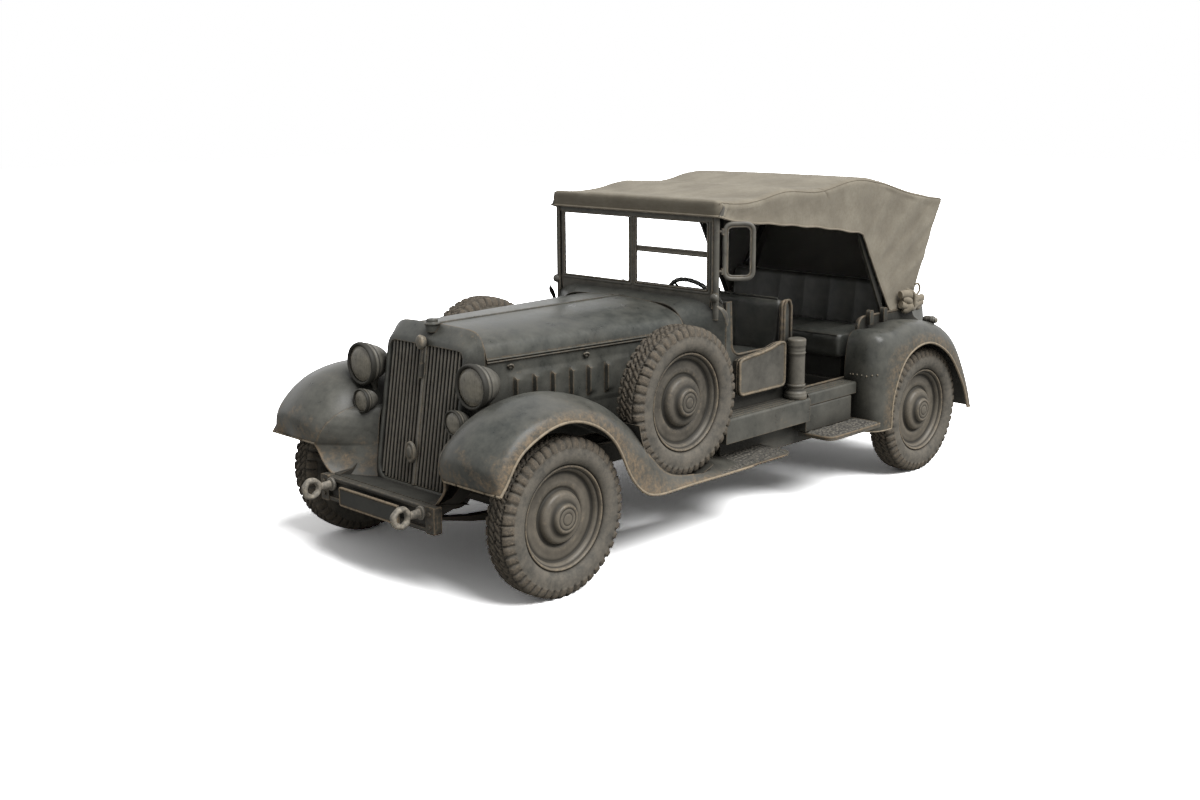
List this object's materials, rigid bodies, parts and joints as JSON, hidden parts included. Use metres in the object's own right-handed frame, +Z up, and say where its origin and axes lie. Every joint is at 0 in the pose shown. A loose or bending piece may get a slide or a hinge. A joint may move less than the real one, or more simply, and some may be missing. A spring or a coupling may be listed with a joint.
{
  "type": "open four wheel drive military staff car with canvas hood",
  "caption": "Open-sided military staff car on four driven wheels with swept fenders, side-mounted spare wheels, upright barred radiator and canvas hood.",
  "frame": {"origin": "on the ground in the middle of the car's length and width", "axes": "+X forward, +Y to the car's left, +Z up"},
  "size_m": [4.4308, 1.86, 1.8355],
  "materials": {
    "paint": "satin, dusty",
    "chassis": "matt, rusty",
    "disc": "satin, dusty",
    "iron": "matt, greasy",
    "tyre": "matt, muddy",
    "canvas": "matt, weathered",
    "leather": "worn",
    "black": "worn",
    "lens": "dull, dusty",
    "glass": "clear"
  },
  "bodies": {
    "chassis": {"axle_front": "iron", "axle_rear": "iron", "body_floor": "paint", "body_sides": "paint", "body_tail": "paint", "bonnet_sides": "paint", "bumper": "chassis", "cowl": "paint", "engine_block": "iron", "exhaust": "iron", "extinguisher": "paint", "fenders_front": "paint", "fenders_rear": "paint", "frame_rails": "chassis", "hood_canvas": "canvas", "hood_frame": "chassis", "lamp_glasses": "lens", "lamps": "paint", "leaf_springs": "iron", "propeller_shafts": "iron", "radiator_grille": "paint", "radiator_shell": "paint", "seat_backs": "leather", "seat_cushions": "leather", "sill_boxes": "paint", "spare_discs": "disc", "spare_tyres": "tyre", "steering_column": "black", "stowage_pockets": "paint", "window_glass": "glass", "windscreen_frame": "paint"},
    "wheel_front_left": {"tyre_front_left": "tyre", "wheel_disc_front_left": "disc"},
    "wheel_front_right": {"tyre_front_right": "tyre", "wheel_disc_front_right": "disc"},
    "wheel_rear_left": {"tyre_rear_left": "tyre", "wheel_disc_rear_left": "disc"},
    "wheel_rear_right": {"tyre_rear_right": "tyre", "wheel_disc_rear_right": "disc"},
    "knuckle_left": {"knuckle_left": "iron"},
    "knuckle_right": {"knuckle_right": "iron"},
    "tie_rod": {"tie_rod": "iron"},
    "bonnet_left": {"bonnet_left": "paint"},
    "bonnet_right": {"bonnet_right": "paint"},
    "steering_wheel": {"steering_wheel": "black"}
  },
  "joints": [
    {"name": "steering_left", "type": "hinge", "parent": "chassis", "child": "knuckle_left", "pos_m": [1.565, 0.64, 0.39], "axis": [0, 0, 1], "range_deg": [-28, 28]},
    {"name": "steering_right", "type": "hinge", "parent": "chassis", "child": "knuckle_right", "pos_m": [1.565, -0.64, 0.39], "axis": [0, 0, 1], "range_deg": [-28, 28]},
    {"name": "tie_rod_pivot", "type": "hinge", "parent": "knuckle_left", "child": "tie_rod", "pos_m": [1.395, 0.64, 0.455], "axis": [0, 0, 1], "range_deg": [-28, 28]},
    {"name": "wheel_front_left_spin", "type": "hinge", "parent": "knuckle_left", "child": "wheel_front_left", "pos_m": [1.565, 0.77, 0.39], "axis": [0, 1, 0], "continuous": true},
    {"name": "wheel_front_right_spin", "type": "hinge", "parent": "knuckle_right", "child": "wheel_front_right", "pos_m": [1.565, -0.77, 0.39], "axis": [0, 1, 0], "continuous": true},
    {"name": "wheel_rear_left_spin", "type": "hinge", "parent": "chassis", "child": "wheel_rear_left", "pos_m": [-1.535, 0.77, 0.39], "axis": [0, 1, 0], "continuous": true},
    {"name": "wheel_rear_right_spin", "type": "hinge", "parent": "chassis", "child": "wheel_rear_right", "pos_m": [-1.535, -0.77, 0.39], "axis": [0, 1, 0], "continuous": true},
    {"name": "bonnet_left_hinge", "type": "hinge", "parent": "chassis", "child": "bonnet_left", "pos_m": [0.965, 0.0093, 1.23], "axis": [1, 0, 0], "range_deg": [0, 60]},
    {"name": "bonnet_right_hinge", "type": "hinge", "parent": "chassis", "child": "bonnet_right", "pos_m": [0.965, -0.0093, 1.23], "axis": [-1, 0, 0], "range_deg": [0, 60]},
    {"name": "steering_wheel_turn", "type": "hinge", "parent": "chassis", "child": "steering_wheel", "pos_m": [-0.045, 0.27, 1.16], "axis": [-0.8192, 0, 0.5736], "range_deg": [-504, 504]}
  ],
  "couplings": [
    {"joint": "steering_right", "follows": "steering_left", "ratio": 1},
    {"joint": "tie_rod_pivot", "follows": "steering_left", "ratio": -1},
    {"joint": "steering_wheel_turn", "follows": "steering_left", "ratio": 18}
  ]
}
